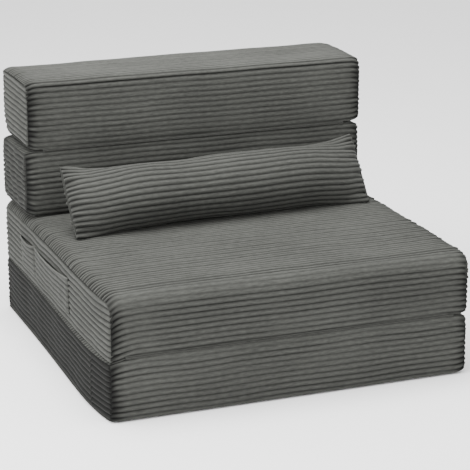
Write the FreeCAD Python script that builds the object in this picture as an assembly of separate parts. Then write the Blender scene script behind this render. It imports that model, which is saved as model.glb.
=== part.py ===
"""A convertible chair bed: four corduroy covered foam blocks, folded in a zigzag, and a loose bolster.

All sizes are in millimetres. +Z is up and the front faces -Y. The origin is on the floor, in the middle of the
part's outline. The base carries the seat, the seat's rear carries the lower back, and that carries the upper
back. Fabric webs join them at the front, at the rear and at the front again, so that they fold out to a bed.
"""

import FreeCAD
import Part
import math
import os

Vector = FreeCAD.Vector

# Blocks
block_width = 760.0
mattress_depth = 770.0
mattress_thickness = 131.0
back_depth = 200.0
back_thickness = 145.5
back_shift = 8.0

# Soft shape of a block
face_crown = 3.0
end_pillow = 4.0
pillow_margin = 16.0
end_rounding = 25.0
rounding_steps = 3
free_draw = 22.0
folded_draw = 9.0
sole_radius = 14.0
crease_radius = 8.0
seat_front_radius = 25.0
rear_fold_radius = 14.0
back_fold_radius = 12.0
back_rear_radius = 32.0
back_top_radius = 16.0
smallest_radius = 3.0

# Cloth, and the room between pieces
cover_wall = 3.0
sole_cloth = 1.0
foam_clear = 0.3
fold_gap = 0.3
axis_clear = 0.2
web_cloth = 1.0
web_clear = 0.3
web_inset = 1.0

# Storage pocket on the seat's left end, measured from the seat's front
pocket_front = 266.0
pocket_divider = 543.0
pocket_rear = 652.0
pocket_mouth_front = 88.0
pocket_mouth_rear = 78.0
pocket_mouth_sag = 8.0
pocket_foot = 12.0
pocket_cloth = 2.0
pocket_depth = 5.6
pocket_seam = 5.0
hem_height = 10.0
hem_cloth = 0.8

# Bolster
bolster_length = 672.0
bolster_straight = 330.0
bolster_flat_width = 203.0
bolster_end_width = 168.0
bolster_fill_angle = 85.0
bolster_lean = 54.0
bolster_shift = 5.0
bolster_ahead = 132.0
bolster_turn = 3.0
bolster_rest_gap = 0.3
bolster_end_lift = 2.0
knife_edge = 0.06
bolster_stations = (0.0, 0.5, 0.8, 0.94, 1.0)

# Zips
tape_width = 24.0
tape_cloth = 0.8
tape_margin = 4.0
chain_width = 5.0
chain_height = 1.2
stop_length = 2.0
stop_overhang = 0.8
run_clear = 0.3
slider_length = 11.0
slider_width = 9.0
slider_roof = 1.3
ear_length = 3.0
ear_wall = 1.1
ear_height = 2.4
ear_span = 2.6
pin_radius = 0.7
pin_clear = 0.06
pin_height = 1.2
tab_length = 22.0
tab_width = 6.0
tab_wall = 1.0
tab_neck = 2.4
bolster_zip_length = 320.0
bolster_tab_length = 12.0
bolster_zip_slope = -45.0

# Levels of the stack
seat_bottom = mattress_thickness + fold_gap
seat_top = seat_bottom + mattress_thickness
seat_shelf = seat_top - face_crown
lower_bottom = seat_shelf + fold_gap
lower_top = lower_bottom + back_thickness
upper_bottom = lower_top + fold_gap
upper_top = upper_bottom + back_thickness

# Places in plan, with the outline's middle at the origin
front = -mattress_depth / 2
rear = mattress_depth / 2
back_front = rear - back_depth
zip_reach = tape_cloth + run_clear + chain_height + slider_roof + ear_height
pocket_reach = pocket_depth + pocket_cloth + hem_cloth
seat_x = (pocket_reach - back_shift - zip_reach) / 2
back_x = seat_x + back_shift
bolster_x = seat_x + bolster_shift
bolster_y = back_front - bolster_ahead
half_width = block_width / 2


class Block:
    """A foam block's box, how far each face swells and draws in at the ends, and its edge radii."""

    def __init__(self, name, x, front, rear, bottom, top, crowns, draws, radii, shelf_from=None):
        self.name = name
        self.x = x
        self.front = front
        self.rear = rear
        self.bottom = bottom
        self.top = top
        self.crowns = crowns
        self.draws = draws
        self.radii = radii
        self.shelf_from = shelf_from


def side(start, end, swell):
    """One side of an outline, as a line, or as an arc that swells to the left of its direction."""
    if swell == 0:
        return Part.LineSegment(start, end).toShape()
    along = end - start
    outward = Vector(0, -along.z, along.y)
    outward.normalize()
    middle = (start + end) * 0.5 + outward * swell
    return Part.Arc(start, middle, end).toShape()


def corner(start, end, centre):
    """A quarter round between two sides."""
    radius = (start - centre).Length
    towards = (start + end) * 0.5 - centre
    towards.normalize()
    return Part.Arc(start, centre + towards * radius, end).toShape()


def outline(block, x, drawn, inset, margin=0.0):
    """The block's closed section at x, with a share of its end draw and an inset all round."""
    crown_front, crown_top, crown_rear, crown_bottom = block.crowns
    draw_front, draw_top, draw_rear, draw_bottom = block.draws
    radius_bottom_front, radius_top_front, radius_top_rear, radius_bottom_rear = [
        max(radius - inset, smallest_radius) for radius in block.radii
    ]
    front_line = block.front + crown_front + drawn * draw_front + inset + margin
    top_line = block.top - crown_top - drawn * draw_top - inset - margin
    rear_line = block.rear - crown_rear - drawn * draw_rear - inset - margin
    bottom_line = block.bottom + crown_bottom + drawn * draw_bottom + inset + margin

    def point(y, z):
        return Vector(x, y, z)

    front_low = point(front_line, bottom_line + radius_bottom_front)
    front_high = point(front_line, top_line - radius_top_front)
    top_near = point(front_line + radius_top_front, top_line)
    top_far = point(rear_line - radius_top_rear, top_line)
    rear_high = point(rear_line, top_line - radius_top_rear)
    rear_low = point(rear_line, bottom_line + radius_bottom_rear)
    bottom_far = point(rear_line - radius_bottom_rear, bottom_line)
    bottom_near = point(front_line + radius_bottom_front, bottom_line)

    edges = [side(front_low, front_high, crown_front)]
    edges.append(corner(front_high, top_near, point(top_near.y, front_high.z)))
    if block.shelf_from is None:
        edges.append(side(top_near, top_far, crown_top))
    else:
        shelf = point(block.shelf_from, top_line)
        edges.append(side(top_near, shelf, crown_top))
        edges.append(side(shelf, top_far, 0))
    edges.append(corner(top_far, rear_high, point(top_far.y, rear_high.z)))
    edges.append(side(rear_high, rear_low, crown_rear))
    edges.append(corner(rear_low, bottom_far, point(bottom_far.y, rear_low.z)))
    edges.append(side(bottom_far, bottom_near, crown_bottom))
    edges.append(corner(bottom_near, front_low, point(bottom_near.y, front_low.z)))
    return Part.Wire(edges)


def end_stations():
    """Depth from the end and share of the draw, along the quarter round at a block's end."""
    stations = []
    for step in range(rounding_steps + 1):
        angle = math.pi / 2 * step / rounding_steps
        stations.append((end_rounding * (1 - math.cos(angle)), 1 - math.sin(angle)))
    return stations


def block_loft(block, inset, extra):
    """The block between its end seams, drawn in towards them, with extra length past each seam."""
    reach = half_width - end_pillow
    stations = end_stations()[1:]
    left = [(-reach + depth, drawn) for depth, drawn in stations]
    left[0] = (left[0][0] - extra, left[0][1])
    places = left + [(-x, drawn) for x, drawn in reversed(left)]
    wires = [outline(block, block.x + x, drawn, inset) for x, drawn in places]
    return Part.makeLoft(wires, True, True)


def cover_wrap(block):
    """The band of cloth round the block, open at both ends."""
    outside = block_loft(block, 0.0, 0.0)
    inside = block_loft(block, cover_wall, cover_wall)
    return outside.cut(inside)


def foam_core(block):
    """The foam slab inside the band, short of the end panels."""
    return block_loft(block, cover_wall + foam_clear, -foam_clear)


def end_panel(block, hand):
    """The crowned panel that closes the band at its left (-1) or right (1) end."""
    (_, drawn_end), (depth, drawn_seam) = end_stations()[:2]
    reach = half_width - end_pillow
    wires = [
        outline(block, block.x + hand * (reach - depth), drawn_seam, 0.0),
        outline(block, block.x + hand * reach, drawn_end, 0.0),
        outline(block, block.x + hand * half_width, drawn_end, 0.0, pillow_margin),
    ]
    return Part.makeLoft(wires, True, True)


def box(low, high):
    """A box between two corners."""
    size = high - low
    return Part.makeBox(size.x, size.y, size.z, low)


def fold_web(x, plane, inward, level, radii):
    """The strip of cloth in the crease between two blocks, just inside their outermost plane."""
    radius = min(radii)
    half_height = radius - web_inset
    depth = face_crown + radius - math.sqrt(radius ** 2 - (radius - half_height) ** 2)
    inner = plane + inward * (depth - web_clear)
    outer = inner - inward * web_cloth
    half_length = half_width - end_pillow - end_rounding
    low = Vector(x - half_length, min(inner, outer), level - half_height)
    high = Vector(x + half_length, max(inner, outer), level + half_height)
    return box(low, high)


def mouth_height(y):
    """Height of the pocket's mouth above the seat's underside at a depth from the seat's front."""
    share = (y - pocket_front) / (pocket_rear - pocket_front)
    straight = pocket_mouth_front + share * (pocket_mouth_rear - pocket_mouth_front)
    if y <= pocket_divider:
        span = (y - pocket_front) / (pocket_divider - pocket_front)
    else:
        span = (y - pocket_divider) / (pocket_rear - pocket_divider)
    return straight - pocket_mouth_sag * 4 * span * (1 - span)


def mouth_edges(x, drop):
    """The sagging mouth as two arcs, one for each compartment, from the front to the rear."""
    edges = []
    for near, far in ((pocket_front, pocket_divider), (pocket_divider, pocket_rear)):
        ends = [
            Vector(x, front + y, seat_bottom + mouth_height(y) - drop)
            for y in (near, (near + far) / 2, far)
        ]
        edges.append(Part.Arc(*ends).toShape())
    return edges


def pocket_plate(x, thickness, drop):
    """A plate under the mouth's line, which stands out to the left from x."""
    mouth = mouth_edges(x, drop)
    foot = seat_bottom + pocket_foot
    first = mouth[0].Vertexes[0].Point
    last = mouth[-1].Vertexes[-1].Point
    low_rear = Vector(x, last.y, foot)
    low_front = Vector(x, first.y, foot)
    rest = [
        Part.LineSegment(last, low_rear).toShape(),
        Part.LineSegment(low_rear, low_front).toShape(),
        Part.LineSegment(low_front, first).toShape(),
    ]
    return Part.Face(Part.Wire(mouth + rest)).extrude(Vector(-thickness, 0, 0))


def compartment(near, far):
    """The room inside one compartment, open above the mouth."""
    plane = seat_x - half_width
    low = Vector(plane - pocket_depth, front + near, seat_bottom + pocket_foot + pocket_seam)
    high = Vector(plane + end_pillow, front + far, seat_top)
    return box(low, high)


def storage_pocket(panel):
    """The pocket cloth, stitched down at its foot, its sides and its divider."""
    plane = seat_x - half_width
    cloth = pocket_plate(plane + end_pillow, end_pillow + pocket_depth + pocket_cloth, 0.0)
    half_seam = pocket_seam / 2
    cloth = cloth.cut(compartment(pocket_front + pocket_seam, pocket_divider - half_seam))
    cloth = cloth.cut(compartment(pocket_divider + half_seam, pocket_rear - pocket_seam))
    return cloth.cut(panel)


def pocket_hem():
    """The doubled edge along the pocket's mouth, on its outer side."""
    x = seat_x - half_width - pocket_depth - pocket_cloth
    return pocket_plate(x, hem_cloth, 0.0).cut(pocket_plate(x, hem_cloth, hem_height))


class Zip:
    """A zip's place: the middle of its tape on the cloth, its run, its outward side and its length."""

    def __init__(self, middle, run, outward, length, tab, tab_out):
        self.middle = middle
        self.run = run
        self.outward = outward
        self.across = outward.cross(run)
        self.length = length
        self.tab = tab
        self.tab_out = tab_out
        self.slider_at = length / 2 - stop_length - slider_length / 2 - run_clear
        self.travel = 2 * self.slider_at
        self.pin_above = zip_reach - ear_height + pin_height

    def placed(self, shape):
        """A shape drawn with the run along X and outward along Z, moved onto the cloth."""
        turned = FreeCAD.Rotation(self.run, self.across, self.outward, "XYZ")
        shape.Placement = FreeCAD.Placement(self.middle, turned)
        return shape

    def pin(self):
        """The middle of the pull's pin."""
        return self.middle + self.run * self.slider_at + self.outward * self.pin_above


def bar(length, width, base, height, x=0.0):
    """A box that is centred on the zip's line, from one height to another."""
    return box(Vector(x - length / 2, -width / 2, base), Vector(x + length / 2, width / 2, base + height))


def zip_tape(zip_place):
    """The woven tape, both halves closed."""
    return zip_place.placed(bar(zip_place.length, tape_width, 0.0, tape_cloth))


def zip_chain(zip_place):
    """The closed coil along the tape, with a wider stop at each end."""
    chain = bar(zip_place.length, chain_width, tape_cloth, chain_height)
    for end in (-1, 1):
        middle = end * (zip_place.length - stop_length) / 2
        stop = bar(stop_length, chain_width + 2 * stop_overhang, tape_cloth, chain_height, middle)
        chain = chain.fuse(stop)
    return zip_place.placed(chain.removeSplitter())


def cross_pin(x, radius, height, length):
    """A round pin across the zip, centred on its line."""
    return Part.makeCylinder(radius, length, Vector(x, -length / 2, height), Vector(0, 1, 0))


def zip_slider(zip_place):
    """The slider over the coil, with two ears that hold the pull's pin."""
    x = zip_place.slider_at
    base = tape_cloth + run_clear
    channel = chain_height
    body = bar(slider_length, slider_width, base, channel + slider_roof, x)
    body = body.cut(bar(slider_length * 2, chain_width + 2 * run_clear, base, channel, x))
    roof = base + channel + slider_roof
    for hand in (-1, 1):
        near = hand * ear_span / 2
        far = near + hand * ear_wall
        low = Vector(x - ear_length / 2, min(near, far), roof)
        body = body.fuse(box(low, low + Vector(ear_length, ear_wall, ear_height)))
    hole = cross_pin(x, pin_radius + pin_clear, roof + pin_height, slider_width)
    return zip_place.placed(body.cut(hole).removeSplitter())


def zip_pull(zip_place):
    """The pull: a pin in the ears, a neck between them and a round ended tab."""
    pin_length = ear_span + 2 * ear_wall
    neck = box(
        Vector(-tab_neck - run_clear, -ear_span / 2 + run_clear, -tab_wall / 2),
        Vector(0, ear_span / 2 - run_clear, tab_wall / 2),
    )
    tab = box(
        Vector(-zip_place.tab + tab_width / 2, -tab_width / 2, -tab_wall / 2),
        Vector(-tab_neck, tab_width / 2, tab_wall / 2),
    )
    tip = Part.makeCylinder(
        tab_width / 2, tab_wall, Vector(-zip_place.tab + tab_width / 2, 0, -tab_wall / 2)
    )
    pull = neck.fuse(tab).fuse(tip).fuse(cross_pin(0.0, pin_radius, 0.0, pin_length)).removeSplitter()
    if zip_place.tab_out:
        pull.rotate(Vector(0, 0, 0), Vector(0, 1, 0), 90)
    pull.translate(Vector(zip_place.slider_at, 0, zip_place.pin_above))
    return zip_place.placed(Part.Compound([pull])).Solids[0]


def end_zip(block):
    """The zip along the right end panel's flat middle."""
    draws = block.draws
    near = block.front + block.crowns[0] + draws[0] + pillow_margin + tape_margin
    far = block.rear - block.crowns[2] - draws[2] - pillow_margin - tape_margin
    low = block.bottom + block.crowns[3] + draws[3] + pillow_margin
    high = block.top - block.crowns[1] - draws[1] - pillow_margin
    middle = Vector(block.x + half_width, (near + far) / 2, (low + high) / 2)
    return Zip(middle, Vector(0, 1, 0), Vector(1, 0, 0), far - near, tab_length, False)


def lens(station):
    """Radius, half width and half thickness of the bolster's section, from its middle (0) to its end seam (1).

    Each face is an arc. Towards the end its angle falls and its length is gathered into the shorter seam.
    """
    fill_share = max(math.sqrt(1 - station ** 2), knife_edge)
    angle = math.radians(bolster_fill_angle) * fill_share
    arc = bolster_flat_width + (bolster_end_width - bolster_flat_width) * station ** 2
    radius = arc / 2 / angle
    return radius, radius * math.sin(angle), radius * (1 - math.cos(angle))


def lens_ways():
    """Unit directions across a section: along the seam plane and square to it."""
    lean = math.radians(bolster_lean)
    return Vector(0, math.cos(lean), math.sin(lean)), Vector(0, -math.sin(lean), math.cos(lean))


def lens_drop(station):
    """How far a section reaches below its centre."""
    radius, half_wide, half_thick = lens(station)
    wide_way, thick_way = lens_ways()
    if thick_way.z >= (radius - half_thick) / radius:
        return radius - (radius - half_thick) * thick_way.z
    return half_wide * wide_way.z


def seat_height(y):
    """Height of the seat's crowned top at y, ahead of the shelf that the back stands on."""
    start = front + face_crown + seat_front_radius
    chord = shelf_start - start
    radius = chord ** 2 / (8 * face_crown) + face_crown / 2
    offset = min(max(y, start), shelf_start) - (start + shelf_start) / 2
    return seat_top - radius + math.sqrt(radius ** 2 - offset ** 2)


def bolster_turned(shape):
    """A shape of the straight bolster, turned a little on the seat."""
    shape.rotate(Vector(bolster_x, bolster_y, 0), Vector(0, 0, 1), bolster_turn)
    return shape


def bolster_outline(station, hand, inset, face):
    """A section of the bolster: both faces (0), or the half on one side (1, -1) of its seam plane."""
    radius, _, half_thick = lens(station)
    depth = radius - half_thick
    radius = radius - inset
    half_wide = math.sqrt(radius ** 2 - depth ** 2)
    half_straight = bolster_straight / 2
    x = bolster_x + hand * (half_straight + station * (bolster_length / 2 - half_straight))
    lift = bolster_rest_gap + station * (bolster_end_lift - bolster_rest_gap)
    centre = Vector(x, bolster_y, seat_height(bolster_y) + lift + lens_drop(station))
    wide_way, thick_way = lens_ways()
    high = centre + wide_way * half_wide
    low = centre - wide_way * half_wide
    bulge = thick_way * (radius - depth)
    if face == 0:
        edges = [Part.Arc(high, centre + bulge, low), Part.Arc(low, centre - bulge, high)]
    else:
        edges = [Part.Arc(high, centre + bulge * face, low), Part.LineSegment(low, high)]
    return Part.Wire([edge.toShape() for edge in edges])


def bolster_loft(inset, face, last):
    """The bolster between its end seams, up to the station that is given by its number."""
    places = [(station, -1) for station in reversed(bolster_stations[:last])]
    places += [(station, 1) for station in bolster_stations[:last]]
    return Part.makeLoft([bolster_outline(s, hand, inset, face) for s, hand in places], True, True)


def bolster_filling():
    """The loose fibre inside the cover, short of the knife edges."""
    last = len(bolster_stations) - 1
    return bolster_turned(bolster_loft(cover_wall + foam_clear, 0, last))


def bolster_cover(face):
    """One face of the bolster's cover, sewn to the other along the seam plane."""
    last = len(bolster_stations)
    shell = bolster_loft(0.0, face, last).cut(bolster_loft(cover_wall, face, last - 1))
    return bolster_turned(shell)


def bolster_zip():
    """The zip on the lower face of the bolster, on the side of the back."""
    radius, _, half_thick = lens(0.0)
    _, thick_way = lens_ways()
    centre = Vector(bolster_x, bolster_y, seat_height(bolster_y) + bolster_rest_gap + lens_drop(0.0))
    arc_centre = centre + thick_way * (radius - half_thick)
    slope = math.radians(bolster_zip_slope)
    outward = Vector(0, math.cos(slope), math.sin(slope))
    middle = arc_centre + outward * (radius + run_clear)
    turn = FreeCAD.Rotation(Vector(0, 0, 1), bolster_turn)
    pivot = Vector(bolster_x, bolster_y, 0)
    middle = pivot + turn.multVec(middle - pivot)
    run = turn.multVec(Vector(1, 0, 0))
    return Zip(middle, run, turn.multVec(outward), bolster_zip_length, bolster_tab_length, True)


shelf_start = back_front - sole_radius

base = Block(
    "base", seat_x, front, rear, sole_cloth, mattress_thickness,
    (face_crown, 0.0, face_crown, 0.0),
    (free_draw, folded_draw, free_draw, folded_draw),
    (sole_radius, crease_radius, rear_fold_radius, sole_radius),
)
seat = Block(
    "seat", seat_x, front, rear, seat_bottom, seat_top,
    (face_crown, face_crown, face_crown, 0.0),
    (free_draw, free_draw, free_draw, folded_draw),
    (crease_radius, seat_front_radius, rear_fold_radius, rear_fold_radius),
    shelf_start,
)
lower_back = Block(
    "lower_back", back_x, back_front, rear, lower_bottom, lower_top,
    (face_crown, 0.0, face_crown, 0.0),
    (free_draw, folded_draw, free_draw, folded_draw),
    (sole_radius, back_fold_radius, back_rear_radius, rear_fold_radius),
)
upper_back = Block(
    "upper_back", back_x, back_front, rear, upper_bottom, upper_top,
    (face_crown, face_crown, face_crown, 0.0),
    (free_draw, free_draw, free_draw, folded_draw),
    (back_fold_radius, back_top_radius, back_top_radius, back_rear_radius),
)
blocks = (base, seat, lower_back, upper_back)

# Fold axes: each lies just outside the faces that it brings together
front_fold = Vector(seat_x, front - axis_clear, mattress_thickness + fold_gap / 2)
rear_fold = Vector(back_x, rear + axis_clear, seat_shelf + fold_gap / 2)
back_fold = Vector(back_x, back_front - axis_clear, lower_top + fold_gap / 2)

zips = {block.name: end_zip(block) for block in blocks}
zips["bolster"] = bolster_zip()


def sole():
    """The non-slip cloth under the base, as large as the base's flat underside."""
    half_length = half_width - end_pillow - end_rounding
    edge = face_crown + sole_radius
    low = Vector(base.x - half_length, base.front + edge, 0.0)
    high = Vector(base.x + half_length, base.rear - edge, sole_cloth)
    return box(low, high)


def save(name, shape):
    """Write one node's STEP file."""
    shape.exportStep(os.path.join("parts", name + ".step"))


def make_block(block):
    """Write the block's foam and cover, and give back its left end panel."""
    save(block.name + "_foam_core", foam_core(block))
    save(block.name + "_cover_wrap", cover_wrap(block))
    save(block.name + "_end_panel_right", end_panel(block, 1))
    left = end_panel(block, -1)
    save(block.name + "_end_panel_left", left)
    return left


def make_zip(name, zip_place):
    """Write one zip's four pieces."""
    save(name + "_zip_tape", zip_tape(zip_place))
    save(name + "_zip_chain", zip_chain(zip_place))
    save(name + "_zip_slider", zip_slider(zip_place))
    save(name + "_zip_pull", zip_pull(zip_place))


def main():
    os.makedirs("parts", exist_ok=True)
    left_panels = {block.name: make_block(block) for block in blocks}
    for name, zip_place in zips.items():
        make_zip(name, zip_place)
    save("base_sole", sole())
    save("storage_pocket", storage_pocket(left_panels["seat"]))
    save("pocket_hem", pocket_hem())
    save("front_fold_web", fold_web(seat_x, front, 1, front_fold.z, (crease_radius, crease_radius)))
    save("rear_fold_web", fold_web(back_x, rear, -1, rear_fold.z, (rear_fold_radius, rear_fold_radius)))
    save("back_fold_web", fold_web(back_x, back_front, 1, back_fold.z, (back_fold_radius, back_fold_radius)))
    save("bolster_filling", bolster_filling())
    save("bolster_cover_upper", bolster_cover(1))
    save("bolster_cover_lower", bolster_cover(-1))


main()
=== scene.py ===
"""Looks of a convertible chair bed: four foam blocks in wide wale corduroy, and a loose bolster.

Every new piece is a grid of two parameters in metres, in the chair's frame: +Z up, the front towards -Y.
"""

import math

import bpy
import numpy as np
from bpy.props import FloatProperty, FloatVectorProperty, IntProperty, PointerProperty
from bpy.types import Operator, Panel, PropertyGroup
from mathutils import Matrix, Vector


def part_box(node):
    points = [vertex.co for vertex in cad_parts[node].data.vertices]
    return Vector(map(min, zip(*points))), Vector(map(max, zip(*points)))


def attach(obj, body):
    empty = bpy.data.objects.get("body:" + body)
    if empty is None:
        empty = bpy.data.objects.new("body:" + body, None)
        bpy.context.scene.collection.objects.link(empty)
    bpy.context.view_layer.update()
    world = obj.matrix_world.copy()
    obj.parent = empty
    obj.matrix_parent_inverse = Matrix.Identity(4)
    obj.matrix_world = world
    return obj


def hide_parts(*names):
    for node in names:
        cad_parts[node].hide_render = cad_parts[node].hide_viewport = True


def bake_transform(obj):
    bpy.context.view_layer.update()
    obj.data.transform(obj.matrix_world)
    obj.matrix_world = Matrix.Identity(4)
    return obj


bl_info = {
    "name": "Corduroy chair bed",
    "version": (1, 0, 0),
    "blender": (4, 5, 0),
    "location": "3D View > Sidebar > Chair bed",
    "description": "Dresses a folding chair bed in corduroy, with its pocket, zips and bolster",
    "category": "Object",
}

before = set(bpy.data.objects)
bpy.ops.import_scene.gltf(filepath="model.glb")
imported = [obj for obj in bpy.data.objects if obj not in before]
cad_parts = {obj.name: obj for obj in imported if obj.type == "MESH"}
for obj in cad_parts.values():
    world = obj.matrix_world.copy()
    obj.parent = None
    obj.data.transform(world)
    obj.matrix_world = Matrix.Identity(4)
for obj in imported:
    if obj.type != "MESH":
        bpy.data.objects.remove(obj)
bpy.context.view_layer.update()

MM = 0.001
BLOCKS = ("base", "seat", "lower_back", "upper_back")
SIDES = {"left": -1, "right": 1}

# The eight parts of a block's section run front, front top edge, top, rear top edge, rear, rear bottom edge,
# bottom, front bottom edge. These are the numbers of the first three.
FRONT, FRONT_EDGE, TOP = 0, 1, 2
# How much each part of the section meets a neighbour when the chair is folded or laid flat.
MEETING = (1, 0.5, 0, 0.5, 1, 0.5, 0, 0.5)
# How much painted shade darkens the tucks at the end seams, along the section.
SEAM_SHADE = (0.85, 0.5, 0.15, 0.3, 0.8, 0.7, 0.3, 0.8)
# Thin creases along the ribs, sunk and drawn darker with painted shade: the part of the section, and how far
# past its start.
CREASES = {"seat": ((TOP, 3 * MM), (TOP, 13 * MM)), "upper_back": ((FRONT_EDGE, 1 * MM),)}
# An upright crease in an end panel: how far behind the panel's front edge.
FOLDS = {("base", "left"): 85 * MM}
# A distance from an end seam past every shoulder and droop.
FAR = 1.0
# Length beside an end seam that is finely divided.
SEAM_ZONE = 30 * MM


def length(default, name, description):
    """A size in millimetres as a length property."""
    return FloatProperty(name=name, description=description, default=default * MM, unit="LENGTH", precision=4)


def lengths(default, name, description):
    """A row of sizes in millimetres as one property."""
    return FloatVectorProperty(
        name=name, description=description, default=[v * MM for v in default], size=len(default), unit="LENGTH"
    )


def degrees(default, name, description):
    """An angle in degrees as a property."""
    return FloatProperty(name=name, description=description, default=math.radians(default), unit="ROTATION")


def shares(default, name, description):
    """A row of plain shares as one property."""
    return FloatVectorProperty(name=name, description=description, default=default, size=len(default))


def watts(default, name, description):
    """A light's power as a property."""
    return FloatProperty(name=name, description=description, default=default, unit="POWER")


def colour(default, name, description):
    """A colour property."""
    return FloatVectorProperty(
        name=name, description=description, default=default, size=3, subtype="COLOR", min=0.0, max=1.0
    )


class CorduroySizes(PropertyGroup):
    """Sizes of the cloth that all covers share."""

    rib_pitch: length(11.9, "Rib pitch", "Distance between two ribs of the cord")
    rib_height: length(2.7, "Rib height", "Height of a rib above its valleys")
    rib_points: IntProperty(name="Points across a rib", description="Grid points across one rib", default=10)
    wall: length(3.0, "Cover wall", "Thickness of the padded cover")
    tuck: length(6.0, "Seam tuck", "How deep the cloth turns in at an end seam")
    panel_inset: length(2.0, "Panel inset", "How far an end panel's flat middle lies inside the block's end")
    panel_wall: length(2.0, "Panel wall", "Thickness of an end panel")
    seam_inset: length(1.6, "Seam inset", "How far the end seams lie inside the block's ends")
    pillow: length(16.0, "Pillow margin", "Width over which an end panel swells up from its seam")


class ReliefSizes(PropertyGroup):
    """Relief of the cloth besides its ribs, and how far from a seam it reaches."""

    wave: length(1.3, "Waves", "Depth of the slow waves in a cover")
    ripple: length(0.35, "Ripples", "Depth of the short waves in a cover")
    panel_wave: length(1.4, "Panel waves", "Depth of the slow waves in an end panel")
    still_reach: length(60.0, "Still margin", "Width beside an end seam over which the waves fade")
    crease: length(1.3, "Thin creases", "Depth of the thin creases along the ribs")
    crease_width: length(1.7, "Crease width", "Half width of a thin crease")
    crease_reach: length(50.0, "Crease ends", "Distance from an end seam over which a thin crease fades")
    seam_reach: length(19.0, "Seam reach", "Width beside an end seam where the ribs grow and lean")
    shoulder: length(24.0, "Least shoulder", "Least width of the round shoulder at an end seam")
    droop_reach: length(110.0, "Droop reach", "Distance from an end seam over which a face droops")
    rise_reach: length(62.0, "Rise reach", "Distance from an end seam over which a face rises")
    belly_reach: length(70.0, "Bulge reach", "How far along the cover the left end's bulge is felt")
    belly_peak: FloatProperty(
        name="Bulge peak", description="Share of the depth at which the left end bulges most", default=0.2
    )
    least_radius: length(2.0, "Least edge radius", "Least radius of a long edge inside the cover")
    back_margin: length(14.0, "Back margin", "How far ahead of the back the seat's crown ends")


class ClothColours(PropertyGroup):
    """Colours of the cloths and trims."""

    crest: colour((0.051, 0.0522, 0.0475), "Rib colour", "Colour on top of the ribs")
    # The valley colour is partly the darker ground of the cloth and partly painted shade down between the ribs.
    valley: colour((0.0045, 0.0046, 0.0041), "Valley colour", "Colour between the ribs")
    sole: colour((0.02, 0.02, 0.021), "Sole colour", "Colour of the non-slip cloth")
    zip_cloth: colour((0.022, 0.0225, 0.021), "Zip tape colour", "Colour of the woven zip tape")
    coil: colour((0.012, 0.012, 0.012), "Zip coil colour", "Colour of the nylon coil")
    metal: colour((0.05, 0.049, 0.047), "Zip metal colour", "Colour of the lacquered sliders and pulls")
    foam: colour((0.78, 0.72, 0.52), "Foam colour", "Colour of the foam slabs")
    fibre: colour((0.85, 0.85, 0.83), "Fibre colour", "Colour of the bolster's filling")


class PocketSizes(PropertyGroup):
    """Sizes of the storage pocket, measured from the seat's front and its underside."""

    front: length(260.0, "Front seam", "Place of the pocket's front seam")
    divider: length(520.0, "Divider", "Place of the stitched divider")
    rear: length(626.0, "Rear seam", "Place of the pocket's rear seam")
    foot: length(12.0, "Foot", "Height of the pocket's foot")
    mouth_front: length(88.0, "Mouth at the front", "Height of the mouth at the front seam")
    mouth_rear: length(78.0, "Mouth at the rear", "Height of the mouth at the rear seam")
    sag: length(5.0, "Mouth sag", "How far the mouth hangs down in each compartment")
    bulge: length(4.6, "Bulge", "How far the mouth gapes in the middle of a compartment")
    stand: length(2.8, "Stand", "How far the cloth stands off the end panel's middle")
    pinned: length(1.8, "Pinned seams", "How far the cloth is drawn in at its seams")
    wall: length(1.2, "Cloth", "Thickness of the pocket's cloth")
    hem_wide: length(6.4, "Hem height", "Height of the rolled hem")
    hem_thick: length(2.6, "Hem thickness", "Thickness of the rolled hem")


class BolsterSizes(PropertyGroup):
    """Sizes of the bolster, which is a lens shaped pad between two end seams."""

    long: length(672.0, "Length", "Length between the end seams")
    straight: length(330.0, "Straight part", "Length of the even middle")
    around: length(203.0, "Width in the middle", "Flat width of one face in the middle")
    seam: length(168.0, "Width at the ends", "Length of an end seam")
    rib_pitch: length(13.5, "Rib pitch", "Distance between two ribs")
    ahead: length(132.0, "Ahead of the back", "Distance of the middle line from the back's front")
    shift: length(5.0, "Shift", "How far the middle lies to the right of the seat's middle")
    fill: degrees(85, "Fill", "Half the arc that one face covers")
    lean: degrees(54, "Lean", "Lean of the seam plane")
    turn: degrees(3, "Turn", "How far it is turned on the seat")
    clearance: length(0.1, "Clearance", "Gap between the plain lens and the seat")
    rise: length(1.7, "Rise", "How much higher the end seams lie than the middle")
    gathers: length(3.2, "Gathers", "Depth of the folds that run into the end seams")
    ear: length(7.0, "Corners", "How far the corners of an end seam stand out")
    belly: length(5.0, "End bulge", "How far the faces bulge out beside an end seam")
    core_short: length(34.0, "Filling's end gap", "How far the filling ends before the seams")
    core_inset: length(6.0, "Filling's inset", "How far the filling lies inside the faces")


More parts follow.
